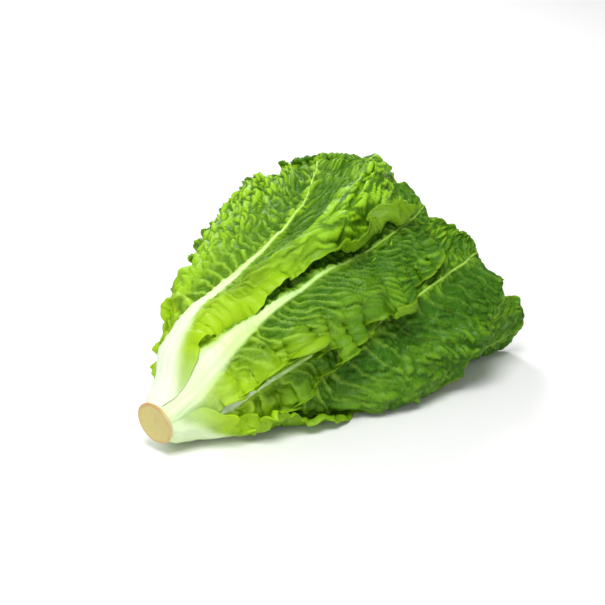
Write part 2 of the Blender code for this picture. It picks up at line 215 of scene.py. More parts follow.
# How far the leaves reach in under the ring, and how far along its length a leaf's last row is.
UNDER_RING, LAST_ROW = 0.0006, 0.997
# The share of the room beside a leaf that its waves may use, and the room that counts as wide.
ROOM_USED, WIDE_ROOM = 0.6, 0.003
# Fine lines along the midrib.
LINE_APART, LINE_HEIGHT = 0.0038, 0.00022


def smooth(x):
    """0 below 0, 1 above 1, and an even curve between."""
    x = np.clip(x, 0.0, 1.0)
    return x * x * (3.0 - 2.0 * x)


def mix(a, b, t):
    return a + (b - a) * t


def hump(x):
    return np.exp(-(x**2))


def unit(vectors):
    return vectors / np.maximum(np.linalg.norm(vectors, axis=-1, keepdims=True), 1e-12)


def noise_line(x, seed):
    """Even noise from -1 to 1 along a line, one bend per unit."""
    table = np.random.default_rng(seed).uniform(-1.0, 1.0, 512)
    cell = np.floor(x).astype(int)
    return mix(table[cell % 512], table[(cell + 1) % 512], smooth(x - cell))


def noise_field(x, y, seed):
    """Even noise from -1 to 1 over a plane, one cell per unit."""
    table = np.random.default_rng(seed).uniform(-1.0, 1.0, (128, 128))
    i, j = np.floor(x).astype(int), np.floor(y).astype(int)
    s, t = smooth(x - i), smooth(y - j)
    low = mix(table[i % 128, j % 128], table[(i + 1) % 128, j % 128], s)
    high = mix(table[i % 128, (j + 1) % 128], table[(i + 1) % 128, (j + 1) % 128], s)
    return mix(low, high, t)


def head_radius(s):
    """Distance of the loose outer leaves from the axis, where the head is narrow."""
    reach = np.clip(s / WIDEST_AT, 0.0, 1.0)
    return BUTT_RADIUS + (HEAD_RADIUS - BUTT_RADIUS) * np.sin(math.pi / 2 * reach) ** SWELL_POWER


def spread(s, bearing):
    """How much wider the head is at this bearing."""
    slant = 0.5 + 0.5 * np.cos(np.radians(2 * (bearing - SPREAD_BEARING)))
    return 1.0 + SPREAD * slant**1.4 * smooth(s / 0.1)


def stem_radius(s):
    return mix(STEM_RADIUS, STEM_TIP_RADIUS, np.clip(s / STEM_LENGTH, 0.0, 1.0) ** STEM_TAPER)


def surface_radius(s, bearing, clearance):
    """How far from the axis a leaf may reach and clear the surface, in directions that point down."""
    tilt = math.radians(HEAD_TILT)
    height = BUTT_HEIGHT + s * math.sin(tilt) - clearance
    down = -np.cos(np.radians(bearing)) * math.cos(tilt)
    return np.where(down > 0.02, height / np.maximum(down, 0.02), 1.0)


def least_of(a, b, blend):
    """The lesser of two distances, rounded off where they cross. Never more than either."""
    return np.minimum(a, b) - blend * np.log1p(np.exp(-np.abs(a - b) / blend))


@functools.lru_cache(maxsize=1)
def butt_place():
    """The middle of the cut, taken from the frame's stem."""
    low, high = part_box("stem")
    tip = (STEM_LENGTH + STEM_END) * math.cos(math.radians(HEAD_TILT))
    return (high.x - tip, (low.y + high.y) / 2, BUTT_HEIGHT)


def place(s, bearing, radius):
    """World points of places on the head."""
    tilt, angle = math.radians(HEAD_TILT), np.radians(bearing)
    up = radius * np.cos(angle)
    x, y, z = butt_place()
    x = x + s * math.cos(tilt) - up * math.sin(tilt)
    z = z + s * math.sin(tilt) + up * math.cos(tilt)
    return np.stack([x, y - radius * np.sin(angle), z], axis=-1)


@functools.lru_cache(maxsize=1)
def all_leaves():
    """Every leaf with the name of its node and its look, outermost first."""
    leaves = [(f"outer_leaf_{i + 1:02d}", leaf, LOOKS[i]) for i, leaf in enumerate(OUTER_LEAVES)]
    for i in range(HEART_LEAVES):
        bearing = (HEART_FIRST_BEARING + GOLDEN_ANGLE * i + 180.0) % 360.0 - 180.0
        length, width, layer, flare = (
            mix(*ends, i / (HEART_LEAVES - 1))
            for ends in (HEART_LENGTHS, HEART_WIDTHS, HEART_LAYERS, HEART_FLARES)
        )
        leaf = Leaf(20 + i, (bearing,) * 4, length, (width, width), layer, (0, 0), flare=flare, ruffle=0.0035)
        leaves.append((f"heart_leaf_{len(OUTER_LEAVES) + i + 1:02d}", leaf, HEART_LOOK))
    return leaves


def root_at(rank):
    outer = len(OUTER_LEAVES)
    return FIRST_ROOT + OUTER_PITCH * min(rank, outer) + HEART_PITCH * max(rank - outer, 0)


def half_width(leaf, u, side):
    """Half the width of a leaf on one side, measured round the head: a clasping root and a rounded blade."""
    u = np.clip(u, 0.0, 1.0)
    blade = np.sin(math.pi * u ** np.where(side < 0, *leaf.shoulders)) ** 0.55
    root = mix(0.011, 0.019, smooth(u * 8)) * (1.0 - u) ** 2.2
    lobes = 1.0 + 0.05 * np.sin(19.5 * u + leaf.seed + side)
    lobes += 0.05 * np.sin(36.0 * u + 2.3 * leaf.seed - side)
    width = np.where(side < 0, *leaf.widths)
    return np.maximum(width * blade * mix(1.0, lobes, smooth(u * 3)) + root, 1e-4)


def rib_shape(rank, u, across):
    """Extra thickness of the midrib at this far across the blade."""
    u = np.clip(u, 0, 1)
    half = mix(RIB_WIDTH_ROOT, RIB_WIDTH_TIP, u**0.55) * mix(0.55, 1.0, smooth(u * 8))
    depth = mix(RIB_DEPTH_ROOT, RIB_DEPTH_TIP, u**0.8) * mix(0.5, 1.0, smooth(u * 8))
    return depth * mix(1.0, 0.4, min(rank / 14, 1.0)) * np.clip(1.0 - (across / half) ** 2, 0.0, 1.0) ** 1.5


def level_radius(leaf, rank, s):
    """The inner side of a leaf's midrib: on the stem at its root, then out to its own layer."""
    stem = stem_radius(s) + ROOT_GAP
    u = (s - root_at(rank)) / leaf.length
    risen = smooth((s - root_at(rank)) / ROOT_RISE * 0.7 + 0.3)
    flare = leaf.flare * smooth((u - 0.6) / 0.4)
    skin = head_radius(s) - mix(RIB_DEPTH_ROOT, 0.0, smooth(u * 2)) - BLADE
    return stem + np.maximum(skin - stem, 0.0) * leaf.layer * risen + flare


def reach_of(leaf, u, side, level):
    """Degrees round the head from a leaf's midrib to its margin."""
    most = mix(60.0, 105.0, smooth(u * 3))
    return np.minimum(np.degrees(half_width(leaf, u, side) / np.maximum(level, 0.006)), most)


def midrib_bearing(leaf, u):
    """The cubic through the bearings at the root, at each third of the leaf and at its tip."""
    t = 3.0 * np.clip(u, 0.0, 1.0)
    a, b, c, d = leaf.midrib
    near = -a * (t - 1) * (t - 2) * (t - 3) / 6 + b * t * (t - 2) * (t - 3) / 2
    return near - c * t * (t - 1) * (t - 3) / 2 + d * t * (t - 1) * (t - 2) / 6


def skewed(leaf, away):
    """How much further along the head the blade lies on its right side, and less on its left."""
    return leaf.skew * np.tanh(away / 30.0)


def leaf_form(leaf, rank, s, bearing):
    """(u, v, inner distance, thickness) of a leaf at each s and bearing, before it is pressed."""
    away = (bearing - midrib_bearing(leaf, (s - root_at(rank)) / leaf.length) + 180.0) % 360.0 - 180.0
    grown = smooth((s - root_at(rank)) / leaf.length * 1.5)
    u = (s - root_at(rank) - skewed(leaf, away) * grown) / leaf.length
    level = level_radius(leaf, rank, s)
    side = np.where(away < 0, -1.0, 1.0)
    v = away / reach_of(leaf, u, side, level)
    a = np.clip(np.abs(v), 0.0, 1.15)
    body = smooth((u - 0.15) / 0.4) * smooth((1.0 - u) * 5)
    rise = np.where(side < 0, *leaf.rises) * smooth(a / 0.75)
    flap = np.where(side < 0, 0.0, leaf.flap) * smooth((a - 0.72) / 0.28)
    waves = np.sin(31.0 * u + 1.7 * side + leaf.seed) * smooth(u * 4) * smooth((1.05 - u) * 6)
    inner = level * spread(s, bearing) + (rise - flap) * body + leaf.ruffle * a**2.5 * waves
    return u, v, inner, BLADE + rib_shape(rank, u, v * half_width(leaf, u, side))


def near_cells(field, axis, cells):
    """The values within so many cells each way of every cell. Bearings wrap round."""
    ends = [(0, 0), (0, 0)]
    ends[axis] = (cells, cells)
    padded = np.pad(field, ends, "wrap" if axis else "edge")
    return np.lib.stride_tricks.sliding_window_view(padded, 2 * cells + 1, axis)


def gentle(field):
    """The same excess or more everywhere, with soft edges: the highest value nearby, then running means."""
    for axis, cells in enumerate((PRESS_S, PRESS_B)):
        field = near_cells(field, axis, cells).max(-1)
    for axis, cells in ((0, PRESS_S // 2), (1, PRESS_B // 2)) * 2:
        field = near_cells(field, axis, cells).mean(-1)
    return field


@functools.lru_cache(maxsize=1)
def pressed_head():
    """For each leaf, maps of how far it is moved to lie clear, and of the room outside and inside it."""
    s = np.linspace(0.0, S_MOST, S_CELLS)[:, None] * np.ones((1, BEARINGS))
    bearing = np.ones((S_CELLS, 1)) * np.arange(BEARINGS)[None] * (360.0 / BEARINGS)
    gap = mix(LEAST_GAP, BLADE_GAP, smooth((s - 0.012) / 0.055))
    forms, covers, thicks, places = [], [], [], []
    clearance = np.full_like(s, SURFACE_GAP)
    for rank, (_, leaf, _) in enumerate(all_leaves()):
        u, v, free, thick = leaf_form(leaf, rank, s, bearing)
        cover = (np.abs(v) <= 1.1) & (u >= -0.02) & (u <= 1.03)
        forms.append(free)
        covers.append(cover)
        thicks.append(thick)
        places.append(least_of(free, surface_radius(s, bearing, clearance) - thick, SURFACE_BLEND))
        clearance = clearance + gentle(np.where(cover, thick + gap, 0.0))
    ranks = range(len(places))
    below = stem_radius(s) + ROOT_GAP
    for rank in reversed(ranks):
        places[rank] += gentle(np.where(covers[rank], np.maximum(below - places[rank], 0.0), 0.0))
        below = np.maximum(below, np.where(covers[rank], places[rank] + thicks[rank] + gap, 0.0))
    above = surface_radius(s, bearing, SURFACE_GAP) + gap
    for rank in ranks:
        excess = np.maximum(places[rank] + thicks[rank] + gap - above, 0.0)
        places[rank] -= gentle(np.where(covers[rank], excess, 0.0))
        above = np.minimum(above, np.where(covers[rank], places[rank], 1.0))
    maps = []
    for rank in ranks:
        outside, inside = surface_radius(s, bearing, SURFACE_GAP * 0.3), stem_radius(s)
        for other in ranks[:rank]:
            outside = np.minimum(outside, np.where(covers[other], places[other], 1.0))
        for other in ranks[rank + 1 :]:
            inside = np.maximum(inside, np.where(covers[other], places[other] + thicks[other], 0.0))
        room_out = np.maximum(outside - places[rank] - thicks[rank], 0.0)
        room_in = np.maximum(places[rank] - inside, 0.0)
        maps.append((places[rank] - forms[rank], -gentle(-room_out), -gentle(-room_in)))
    return maps


def read_map(field, s, bearing):
    """The map's value at each place, read evenly between its cells."""
    row = np.clip(s / S_MOST * (S_CELLS - 1), 0, S_CELLS - 1.001)
    column = (bearing % 360.0) / 360.0 * BEARINGS
    i, j = row.astype(int), column.astype(int) % BEARINGS
    fi, fj = row - i, column - np.floor(column)
    k = (j + 1) % BEARINGS
    near = field[i, j] * (1 - fj) + field[i, k] * fj
    far = field[i + 1, j] * (1 - fj) + field[i + 1, k] * fj
    return near * (1 - fi) + far * fi


# ----------------------------------------
# The fine leaf.


def kept_within(move, inwards, outwards):
    """A move held, evenly, within the room on either side."""
    inwards, outwards = np.maximum(inwards, 1e-5), np.maximum(outwards, 1e-5)
    return np.where(move < 0, inwards * np.tanh(move / inwards), outwards * np.tanh(move / outwards))


def sheet_normals(points):
    """Unit normals of a grid of points, evened out, pointing away from the head's axis."""
    normal = unit(np.cross(np.gradient(points, axis=1), np.gradient(points, axis=0)))
    for _ in range(2):
        normal[1:-1] = (normal[:-2] + 2 * normal[1:-1] + normal[2:]) / 4
        normal[:, 1:-1] = (normal[:, :-2] + 2 * normal[:, 1:-1] + normal[:, 2:]) / 4
    return unit(normal)


def length_left(steps):
    """How far it is to the end of a line from each of its points, from the steps between them."""
    return np.concatenate([np.cumsum(steps[::-1])[::-1], [0.0]])


def margin_run(leaf, rank, u, side):
    """How far it is from the tip to each row along one margin."""
    s = root_at(rank) + leaf.length * u
    return length_left(np.hypot(np.diff(s), np.diff(half_width(leaf, u, side))))[:, None]


def fold_height(rank, reach, span):
    """How far the named folds lift each place on a leaf."""
    height = np.zeros_like(reach)
    for fold in (fold for fold in FOLDS if fold.rank == rank):
        (x0, y0), (x1, y1) = fold.near, fold.far
        length = math.hypot(x1 - x0, y1 - y0)
        along = ((reach - x0) * (x1 - x0) + (span - y0) * (y1 - y0)) / length
        beyond = np.maximum(np.maximum(-along, along - length), 0.0)
        aside = ((span - y0) * (x1 - x0) - (reach - x0) * (y1 - y0)) / length
        wander = 0.35 * fold.width * noise_line(reach / 0.012, rank * 7 + 3)
        height += fold.height * hump((aside + wander) / fold.width) * hump(beyond / FOLD_END)
    return height


def curl_share(curl, u):
    """How much of a curl there is at each part of the length: full in its middle, none past its ends."""
    return smooth((u - curl.first) / curl.grow) * smooth((curl.last - u) / curl.grow)


def turned_back(points, normal, curl, u_row, waves):
    """The points and normals of a leaf with one margin turned over its outside, and how far each turned."""
    points, normal = points.copy(), normal.copy()
    turned = np.zeros(points.shape[:2])
    order = slice(None, None, curl.side)
    for row, share in enumerate(curl_share(curl, u_row)):
        width = curl.width * share * (1.0 + 0.14 * noise_line(u_row[row] * 16.0, curl.rank + 80))
        if width < LEAST_CURL:
            continue
        line, out = points[row, order], normal[row, order]
        left = length_left(np.linalg.norm(np.diff(line, axis=0), axis=1))
        at, before, up = (
            np.array([np.interp(-far, -left, field[:, k]) for k in range(3)])
            for field, far in ((line, width), (line, width + 0.002), (out, width))
        )
        onward = unit(at - before)
        up = unit(up - onward * (up @ onward))
        past = np.maximum(width - left, 0.0)[:, None]
        angle = np.minimum(past / curl.radius, math.radians(curl.turn) * min(1.0, share * 1.5))
        rest = past - angle * curl.radius
        x = curl.radius * np.sin(angle) + rest * np.cos(angle)
        y = curl.radius * (1 - np.cos(angle)) + rest * np.sin(angle)
        face = up * np.cos(angle) - onward * np.sin(angle)
        wave = waves[row, order][:, None] * curl.waves
        points[row, order] = np.where(past > 0, at + onward * x + up * y + face * wave, line)
        normal[row, order] = np.where(past > 0, face, out)
        turned[row, order] = smooth(angle[:, 0] / math.radians(70))
    return points, normal, turned


def above_floor(points):
    """The points, with those close to the floor eased up so that none lies below it."""
    points = points.copy()
    below = np.minimum(points[..., 2] - FLOOR_EASE, 0.0)
    points[..., 2] = np.maximum(points[..., 2], FLOOR_EASE) + FLOOR_EASE * (np.exp(below / FLOOR_EASE) - 1.0)
    return points


def margin_reach(leaf, rank, u, side, run):
    """How far each margin reaches past the plain outline of its leaf: rags, spare for curls, and lobes."""
    reach = sum(size * noise_line(run / wave, leaf.seed + 300 + k) for k, (wave, size) in enumerate(RAGS))
    reach = reach * smooth((u - 0.06) / 0.1)
    for curl in (curl for curl in CURLS if curl.rank == rank):
        spare = (curl.width - curl.radius * 0.6) * curl_share(curl, u)
        reach += np.where(side == curl.side, spare, 0.0)
    for lobe in (lobe for lobe in LOBES if lobe.rank == rank):
        reach += np.where(side == lobe.side, lobe.reach * hump((u - lobe.at) / lobe.half), 0.0)
    return reach


def frilled(leaf, look, u, side, run, inset, width):
    """(lift, slide along the head) of the frills of both margins."""
    frill = np.where(side < 0, look.frill_left, look.frill_right)
    frill = frill * smooth((u - 0.08) / 0.1) * mix(1.5, 1.0, smooth((u - 0.3) / 0.25))
    frill = frill * mix(1.0, look.frill_tip, smooth((u - 0.5) / 0.25))
    lift, slide = np.zeros_like(u), np.zeros_like(u)
    for k, (wave, height, start) in enumerate(FRILLS):
        seed = leaf.seed * 10 + k
        phase = 2 * math.pi * run / wave + 2.4 * noise_line(run / wave * 0.7, seed)
        swell = 0.65 + 0.5 * noise_line(run / wave * 0.45, seed + 50)
        grow = smooth(1.0 - inset / start) ** 1.3 * smooth((width - start * 0.45) / (start * 0.7))
        lift += height * swell * grow * (np.sin(phase) + 0.25)
        slide += 0.8 * height * swell * grow * np.cos(phase)
    return lift * frill, slide * frill


def creased(leaf, look, u, side, s, across):
    """Soft creases from -1.5 to 1.5 all over a blade, lying along its side veins."""
    slant = np.where(side < 0, *look.slants) * mix(0.45, 1.0, smooth((u - 0.2) / 0.4))
    far = np.abs(across)
    climbed = s - slant * BEND_AT * (far / BEND_AT) ** BEND_POWER * CREASE_BEND
    return sum(
        share * noise_field(climbed / wave + 60.0 * (side > 0), far / length + 40.0, leaf.seed + 400 + k)
        for k, (wave, length, share) in enumerate(CREASES)
    )


def leaf_points(leaf, look, rank, maps):
    """(outer points, inner points, normals, facts) of one leaf: its fine sheet, and what it carries where."""
    root = root_at(rank)
    t = np.linspace(0.0, 1.0, look.rows + 1)
    first = (RING_DEPTH - UNDER_RING - root) / leaf.length
    u_row = mix(first, LAST_ROW, mix(t, 0.5 - 0.5 * np.cos(math.pi * t), 0.6))
    t = np.linspace(-1.0, 1.0, look.columns + 1)
    u, v = np.meshgrid(u_row, np.sign(t) * np.abs(t) ** 1.1, indexing="ij")
    side = np.where(v < 0, -1.0, 1.0)
    s = root + leaf.length * u
    width = half_width(leaf, u, side)
    across = v * width
    run = np.where(side < 0, -margin_run(leaf, rank, u_row, -1.0), margin_run(leaf, rank, u_row, 1.0))
    wider = margin_reach(leaf, rank, u, side, run) / np.maximum(width, 0.01)
    away = v * (1.0 + wider * smooth((np.abs(v) - 0.55) / 0.45))
    away = away * reach_of(leaf, u, side, level_radius(leaf, rank, s))
    s = s + skewed(leaf, away) * smooth(u * 1.5)
    s += 0.0022 * smooth((u - 0.72) / 0.28) * noise_line(across / 0.007 + 90.0, leaf.seed + 304)
    bearing = midrib_bearing(leaf, (s - root) / leaf.length) + away
    shift, room_out, room_in = (read_map(field, s, bearing) for field in maps)
    inner = leaf_form(leaf, rank, s, bearing)[2] + shift

    inset = np.minimum(width * (1.0 - np.abs(v)), (1.0 - u) * leaf.length * 0.9 + 0.001)
    waves, slide = frilled(leaf, look, u, side, run, inset, width)
    blade = smooth((u - 0.1) / 0.25) * smooth((np.abs(across) - 0.008) / 0.02)
    creases = creased(leaf, look, u, side, s, across)
    folds = fold_height(rank, s - root, across)
    lift = waves + CREASE_HEIGHT * look.fold * blade * creases + folds
    lift = kept_within(lift, room_in * ROOM_USED, room_out * ROOM_USED)
    # Near the root each margin lies down on the leaf inside it, and the leaf bases close in under the ring.
    laid = smooth(1.2 - inset / 0.01) * smooth((0.19 - u) / 0.09)
    lift = mix(lift, -0.85 * room_in, laid)
    inner = np.maximum(inner + lift, stem_radius(s) + ROOT_GAP / 2)
    clear = smooth((s - RING_DEPTH + UNDER_RING) / 0.0075)
    inner = mix(BUTT_RADIUS - 0.0014 - 0.00022 * rank, inner, clear)

    middle = place(s + slide, bearing, inner)
    normal = sheet_normals(middle)
    turned = np.zeros_like(u)
    for curl in (curl for curl in CURLS if curl.rank == rank):
        middle, normal, bent = turned_back(middle, normal, curl, u_row, waves)
        turned = np.maximum(turned, bent)
    rib = rib_shape(rank, u, across * mix(1.0, 1.8, smooth(u / 0.3)))
    thin = mix(BLADE_EDGE, BLADE_FINE, smooth(inset / 0.012))
    lines = np.sin(2 * math.pi * across / LINE_APART + 1.5 * noise_line(s / 0.03, leaf.seed))
    lines = LINE_HEIGHT * lines * smooth(rib / 0.0012) * smooth((0.75 - u) * 4)
    outside = middle + normal * ((thin + rib + lines) * mix(0.25, 1.0, clear))[..., None]
    pale = 0.0004 + 0.016 * look.pale * np.exp(-((np.maximum(s, 0.0) / 0.048) ** 1.15))
    facts = {
        "along": u,
        "reach": leaf.length * u,
        "span": across,
        "inset": inset,
        "rib": smooth((pale - np.abs(across)) / (0.8 * pale + 0.0008) + 0.5),
        "room": np.minimum(room_in, WIDE_ROOM) / WIDE_ROOM,
        "space": np.minimum(room_out, WIDE_ROOM) / WIDE_ROOM,
        "turned": turned,
        "furrow": np.clip(smooth(-folds / 0.004) + 0.7 * blade * smooth((-creases - 0.35) / 0.8), 0.0, 1.0),
        # Tone: how green each side of the leaf is, partly its own green and partly painted shade on its
        # darker side.
        "tone": mix(*look.greens, smooth(v * 3.0 + 0.5)),
    }
    return above_floor(outside), above_floor(middle), normal, facts


def linked_object(name, data):
    obj = bpy.data.objects.new(name, data)
    bpy.context.scene.collection.objects.link(obj)
    return obj


def mesh_object(name, points, faces, values, vectors=()):
    """A smooth mesh and its object, with a value or a vector for each point under each name."""
    mesh = bpy.data.meshes.new(name)
    mesh.from_pydata(points.tolist(), [], faces)
    mesh.validate()
    for kind, key, items in (("FLOAT", "value", values), ("FLOAT_VECTOR", "vector", vectors)):
        for label, item in dict(items).items():
            layer = mesh.attributes.new(label, kind, "POINT")
            layer.data.foreach_set(key, np.asarray(item, dtype=np.float32).ravel())
    mesh.shade_smooth()
    return linked_object(name, mesh)


def sheet_object(name, outer, inner, normal, facts):
    """A closed mesh of two like grids, joined round their edge, with its facts as attributes."""
    count = outer.shape[0] * outer.shape[1]
    at = np.arange(count).reshape(outer.shape[:2])
    a, b, c, d = at[:-1, :-1], at[1:, :-1], at[1:, 1:], at[:-1, 1:]
    upper = np.stack([a, d, c, b], axis=-1).reshape(-1, 4)
    under = np.stack([a, b, c, d], axis=-1).reshape(-1, 4) + count
    rim = np.concatenate([at[:, 0], at[-1, 1:], at[-2::-1, -1], at[0, -2:0:-1]])
    ahead = np.roll(rim, -1)
    band = np.stack([rim, ahead, ahead + count, rim + count], axis=-1)
    faces = np.concatenate([upper, under, band]).tolist()
    points = np.concatenate([outer.reshape(-1, 3), inner.reshape(-1, 3)])
    facts = {key: np.tile(values.ravel(), 2) for key, values in facts.items()}
    facts["outer"] = np.repeat([1.0, 0.0], count)
    return mesh_object(name, points, faces, facts, {"out": np.tile(normal.reshape(-1, 3), (2, 1))})


# ----------------------------------------
# Node trees.


def arithmetic(operation):
    """A method that puts a value, and what it meets, through a math node."""
    return lambda self, *others: self.tree.math(operation, self, *others)


class Value:
    """An output of a node tree, which plain arithmetic can be written with."""

    __add__, __sub__, __mul__ = map(arithmetic, ("ADD", "SUBTRACT", "MULTIPLY"))
    __truediv__, __pow__, __abs__ = map(arithmetic, ("DIVIDE", "POWER", "ABSOLUTE"))

    def __init__(self, tree, socket):
        self.tree, self.socket = tree, socket

    def __rsub__(self, other):
        return self.tree.math("SUBTRACT", other, self)


class Tree:
    """Short words for building a node tree."""

    def __init__(self, tree):
        self.tree = tree

    def feed(self, socket, value):
        if isinstance(value, Value):
            self.tree.links.new(value.socket, socket)
        else:
            socket.default_value = value

    def node(self, kind, inputs=(), **settings):
        """A new node with its settings, then its inputs by name or number."""
        made = self.tree.nodes.new(kind)
        for key, value in settings.items():
            setattr(made, key, value)
        for key, value in dict(inputs).items():
            self.feed(made.inputs[key], value)
        return made

    def outputs(self, kind, inputs=(), **settings):
        return {s.name: Value(self, s) for s in self.node(kind, inputs, **settings).outputs}

    def first(self, kind, inputs=(), **settings):
        return Value(self, self.node(kind, inputs, **settings).outputs[0])

    def math(self, operation, *values):
        return self.first("ShaderNodeMath", enumerate(values), operation=operation)

    def most(self, *values):
        return functools.reduce(lambda a, b: self.math("MAXIMUM", a, b), values)

    def least(self, *values):
        return functools.reduce(lambda a, b: self.math("MINIMUM", a, b), values)

    def ramp(self, value, low, high, start=0.0, end=1.0, easing="SMOOTHSTEP"):
        """From start to end while the value goes from low to high, and level beyond."""
        levels = {"Value": value, "From Min": low, "From Max": high, "To Min": start, "To Max": end}
        return self.first("ShaderNodeMapRange", levels, interpolation_type=easing)

    def vector(self, *values):
        return self.first("ShaderNodeCombineXYZ", enumerate(values))

    def noise(self, at, scale, detail=2.0):
        inputs = {"Vector": at, "Scale": scale, "Detail": detail}
        return self.first("ShaderNodeTexNoise", inputs, noise_dimensions="3D")

    def cells(self, at, scale):
        """Distance from the nearest edge of a field of cells."""
        settings = {"feature": "DISTANCE_TO_EDGE", "voronoi_dimensions": "3D"}
        return self.first("ShaderNodeTexVoronoi", {"Vector": at, "Scale": scale}, **settings)

    def bump(self, height, strength):
        inputs = {"Strength": strength, "Distance": BUMP_DISTANCE, "Height": height}
        return self.first("ShaderNodeBump", inputs)

    def colour(self, factor, a, b):
        """From colour a to colour b."""
        made = self.node("ShaderNodeMix", {"Factor": factor}, data_type="RGBA", blend_type="MIX")
        for socket, value in zip((s for s in made.inputs if s.name in ("A", "B") and s.enabled), (a, b)):
            self.feed(socket, value)
        return Value(self, next(s for s in made.outputs if s.enabled))


def add_sockets(group, way, kind, sockets):
    """Sockets of one kind on a node group, by name, each with its default or None."""
    for name, value in sockets.items():
        made = group.interface.new_socket(name, in_out=way, socket_type=f"NodeSocket{kind}")
        if value is not None:
            made.default_value = value


# ----------------------------------------
# Geometry Nodes: the side veins and the puckers between them follow each blade.

RELIEF_SIZES = {
    "Vein Spacing": VEIN_SPACING, "Left Slant": 0.8, "Right Slant": 0.8, "Vein Width": 0.0011,
    "Vein Height": 0.0007, "Pucker Size": 0.006, "Pucker Height": 0.0024, "Hollow Depth": -0.0012,
    "Wrinkle Size": 0.0032, "Wrinkle Height": 0.0005, "Seed": 0.0,
}


def named(t, name, kind="FLOAT"):
    made = t.node("GeometryNodeInputNamedAttribute", {"Name": name}, data_type=kind)
    return Value(t, next(s for s in made.outputs if s.name == "Attribute" and s.enabled))


def store(t, geometry, name, value):
    inputs = {"Geometry": geometry, "Name": name}
    made = t.node("GeometryNodeStoreNamedAttribute", inputs, data_type="FLOAT", domain="POINT")
    t.feed(next(s for s in made.inputs if s.name == "Value" and s.enabled), value)
    return Value(t, made.outputs["Geometry"])


def relief_tree():
    """The tree that raises side veins and puckers on a blade and keeps their masks for the material."""
    if "Leaf Relief" in bpy.data.node_groups:
        return bpy.data.node_groups["Leaf Relief"]
    group = bpy.data.node_groups.new("Leaf Relief", "GeometryNodeTree")
    add_sockets(group, "INPUT", "Geometry", {"Geometry": None})
    add_sockets(group, "INPUT", "Float", RELIEF_SIZES)
    add_sockets(group, "INPUT", "Material", {"Material": None})
    add_sockets(group, "OUTPUT", "Geometry", {"Geometry": None})
    t = Tree(group)
    given = t.outputs("NodeGroupInput")
    spacing, seed = given["Vein Spacing"], given["Seed"]
    names = ("span", "reach", "along", "inset", "rib", "room", "space", "outer", "turned")
    span, reach, along, inset, rib, room, space, outer, turned = (named(t, name) for name in names)
    far, side = abs(span), t.math("SIGN", span)

    # Side veins leave the midrib in turn and bend towards the tip.
    wander = t.noise(t.vector(reach, span, seed * 3.1), 55.0)
    left, right = given["Left Slant"], given["Right Slant"]
    slant = ((right - left) * 0.5 * (side + 1.0) + left) * t.ramp(along, 0.2, 0.6, 0.45, 1.0)
    bend = (far * (1.0 / BEND_AT)) ** BEND_POWER * BEND_AT
    climbed = (wander - 0.5) * 0.02 + reach - bend * slant
    phase = climbed / spacing + (side * 0.23 + seed)
    beside = abs(t.math("FRACT", phase) - 0.5)
    taper = t.ramp(far, 0.0, 0.045, 1.7, 0.5)
    vein = t.ramp(beside * spacing, 0.0, given["Vein Width"] * taper, 1.0, 0.0)
    vein = vein * (t.ramp(along, 0.06, 0.22) * t.ramp(inset, 0.0005, 0.006)) * (1.0 - rib * 0.6)

    # Puckers: the blade between the veins is blistered outwards, and hollowed beside the midrib.
    size = given["Pucker Size"]
    cell = t.cells(t.vector(phase * (spacing / size), far / (size * 1.4), side * 3.0 + seed), 1.0)
    pucker = t.ramp(cell, 0.0, 0.36) ** 0.7 * (t.ramp(beside, 0.04, 0.3) * 0.5 + 0.5)
    hollow = t.ramp(far, 0.002, 0.005) * t.ramp(far, 0.011, 0.024, 1.0, 0.0)
    hollow = hollow * (1.0 - vein) * t.ramp(along, 0.16, 0.32)
    size = given["Wrinkle Size"]
    crease = t.noise(t.vector(climbed / size, far / (size * 2.6), side * 5.0 + seed), 1.0) - 0.5

    # All of it fades at the midrib, the root and the margin, where the blade is turned back or has no room.
    body = (1.0 - t.ramp(rib, 0.0, 0.55)) * t.ramp(along, 0.07, 0.24) * t.ramp(inset, 0.0, 0.007, 0.15, 1.0)
    body = body * (turned * -0.75 + 1.0) * (room * 0.4 + 0.6)
    rise = (pucker - 0.35) * given["Pucker Height"] + crease * 2.0 * given["Wrinkle Height"]
    rise = (rise + hollow * given["Hollow Depth"]) * body
    rise = rise + vein * given["Vein Height"] * (outer * taper)
    height = t.outputs("ShaderNodeSeparateXYZ", {0: t.first("GeometryNodeInputPosition")})["Z"]
    rise = rise * t.ramp(height, 0.0002, 0.004)
    # No further in or out than the neighbouring leaves leave room for.
    rise = t.most(rise, room * -0.0016 - 0.0003)
    rise = t.least(rise, space * space * 0.0026 + 0.0003)

    out = named(t, "out", "FLOAT_VECTOR")
    push = t.first("ShaderNodeVectorMath", {0: out, "Scale": rise}, operation="SCALE")
    geometry = t.first("GeometryNodeSetPosition", {"Geometry": given["Geometry"], "Offset": push})
    shown = t.most(crease * 1.6 + pucker, 0.0)
    for name, mask in (("vein", vein), ("pucker", shown * body), ("hollow", hollow * body)):
        geometry = store(t, geometry, name, mask)
    geometry = t.first("GeometryNodeRealizeInstances", {"Geometry": geometry})
    geometry = t.first("GeometryNodeSetMaterial", {"Geometry": geometry, "Material": given["Material"]})
    t.node("NodeGroupOutput", {"Geometry": geometry})
    return group


def relieved(obj, values):
    """Run the relief tree on a blade and keep the result as its plain mesh."""
    group = relief_tree()
    sockets = {item.name: item.identifier for item in group.interface.items_tree if item.in_out == "INPUT"}
    modifier = obj.modifiers.new("Leaf Relief", "NODES")
    modifier.node_group = group
    for name, value in values.items():
        modifier[sockets[name]] = value
    graph = bpy.context.evaluated_depsgraph_get()
    graph.update()
    made = bpy.data.meshes.new_from_object(
        obj.evaluated_get(graph), preserve_all_data_layers=True, depsgraph=graph
    )
    obj.modifiers.remove(modifier)
    old, obj.data = obj.data, made
    made.name = obj.name
    bpy.data.meshes.remove(old)
    if not len(made.materials) or made.materials[0] is None:
        raise RuntimeError(f"{obj.name}: the relief gave it no material")


# ----------------------------------------
# Materials.

